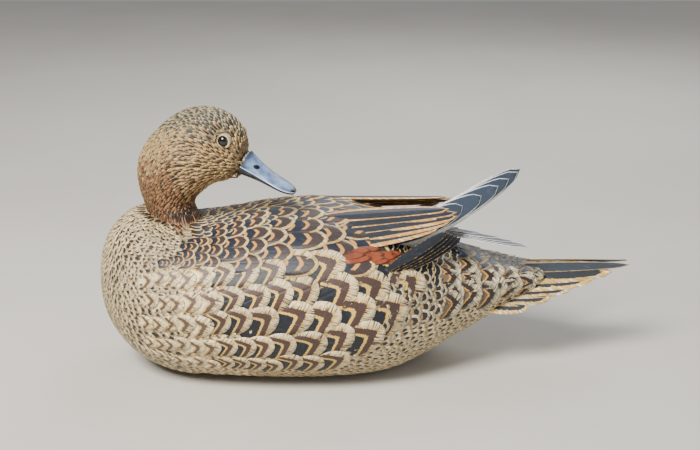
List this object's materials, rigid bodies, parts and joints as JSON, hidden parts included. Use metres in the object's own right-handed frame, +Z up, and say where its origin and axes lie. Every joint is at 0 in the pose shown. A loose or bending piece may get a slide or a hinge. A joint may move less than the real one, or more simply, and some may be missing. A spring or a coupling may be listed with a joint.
{
  "type": "duck decoy",
  "caption": "Floating wooden duck decoy, hollow body on a flat bottom, head turned back, inserted wing and tail feather blades, hinged line ring below.",
  "frame": {"origin": "on the flat bottom, under the middle of the body", "axes": "+X from breast to tail, +Z up, -Y the bird's left side"},
  "size_m": [0.43, 0.1768, 0.2138],
  "materials": {
    "painted_wood_body": "satin oil paint over carved wood, finely patterned as a hen pintail's plumage",
    "painted_wood_head": "satin oil paint over carved wood, finely streaked",
    "dowel_wood": "plain birch",
    "plated_steel": "zinc plated",
    "insert_brass": "machined",
    "painted_bill": "blue-grey satin paint over hard wood",
    "eye_glass": "polished dark glass",
    "lid_putty": "painted two-part putty",
    "primary_paint": "slate paint with pale edges over thin wood",
    "tertial_paint": "dark paint with cream and gold edges over thin wood",
    "tail_paint": "barred brown and cream paint over thin wood",
    "lead": "dull cast lead",
    "screw_brass": "plain brass",
    "ring_brass": "worn brass wire"
  },
  "bodies": {
    "decoy": {"body_top": "painted_wood_body", "body_bottom": "painted_wood_body", "body_dowels": "dowel_wood", "head": "painted_wood_head", "neck_bolt": "plated_steel", "neck_washer": "plated_steel", "neck_insert": "insert_brass", "bill_upper": "painted_bill", "bill_lower": "painted_bill", "eye_left": "eye_glass", "eyelid_left": "lid_putty", "left_primary_1": "primary_paint", "left_tail_1": "tail_paint", "left_primary_2": "primary_paint", "left_tail_2": "tail_paint", "left_primary_3": "primary_paint", "left_tail_3": "tail_paint", "left_primary_4": "primary_paint", "left_tail_4": "tail_paint", "left_primary_5": "primary_paint", "left_tail_5": "tail_paint", "left_primary_6": "primary_paint", "left_tail_6": "tail_paint", "left_tertial_1": "tertial_paint", "left_tertial_2": "tertial_paint", "left_tertial_3": "tertial_paint", "left_tertial_4": "tertial_paint", "left_tertial_5": "tertial_paint", "eye_right": "eye_glass", "eyelid_right": "lid_putty", "right_primary_1": "primary_paint", "right_tail_1": "tail_paint", "right_primary_2": "primary_paint", "right_tail_2": "tail_paint", "right_primary_3": "primary_paint", "right_tail_3": "tail_paint", "right_primary_4": "primary_paint", "right_tail_4": "tail_paint", "right_primary_5": "primary_paint", "right_tail_5": "tail_paint", "right_primary_6": "primary_paint", "right_tail_6": "tail_paint", "right_tertial_1": "tertial_paint", "right_tertial_2": "tertial_paint", "right_tertial_3": "tertial_paint", "right_tertial_4": "tertial_paint", "right_tertial_5": "tertial_paint", "ballast_weight": "lead", "ballast_screws": "screw_brass", "line_clip": "screw_brass", "clip_screws": "screw_brass"},
    "ring": {"line_ring": "ring_brass"}
  },
  "joints": [
    {"name": "ring_swing", "type": "hinge", "parent": "decoy", "child": "ring", "pos_m": [-0.132, 0, 0.0046], "axis": [0, 1, 0], "range_deg": [0, 180]}
  ]
}
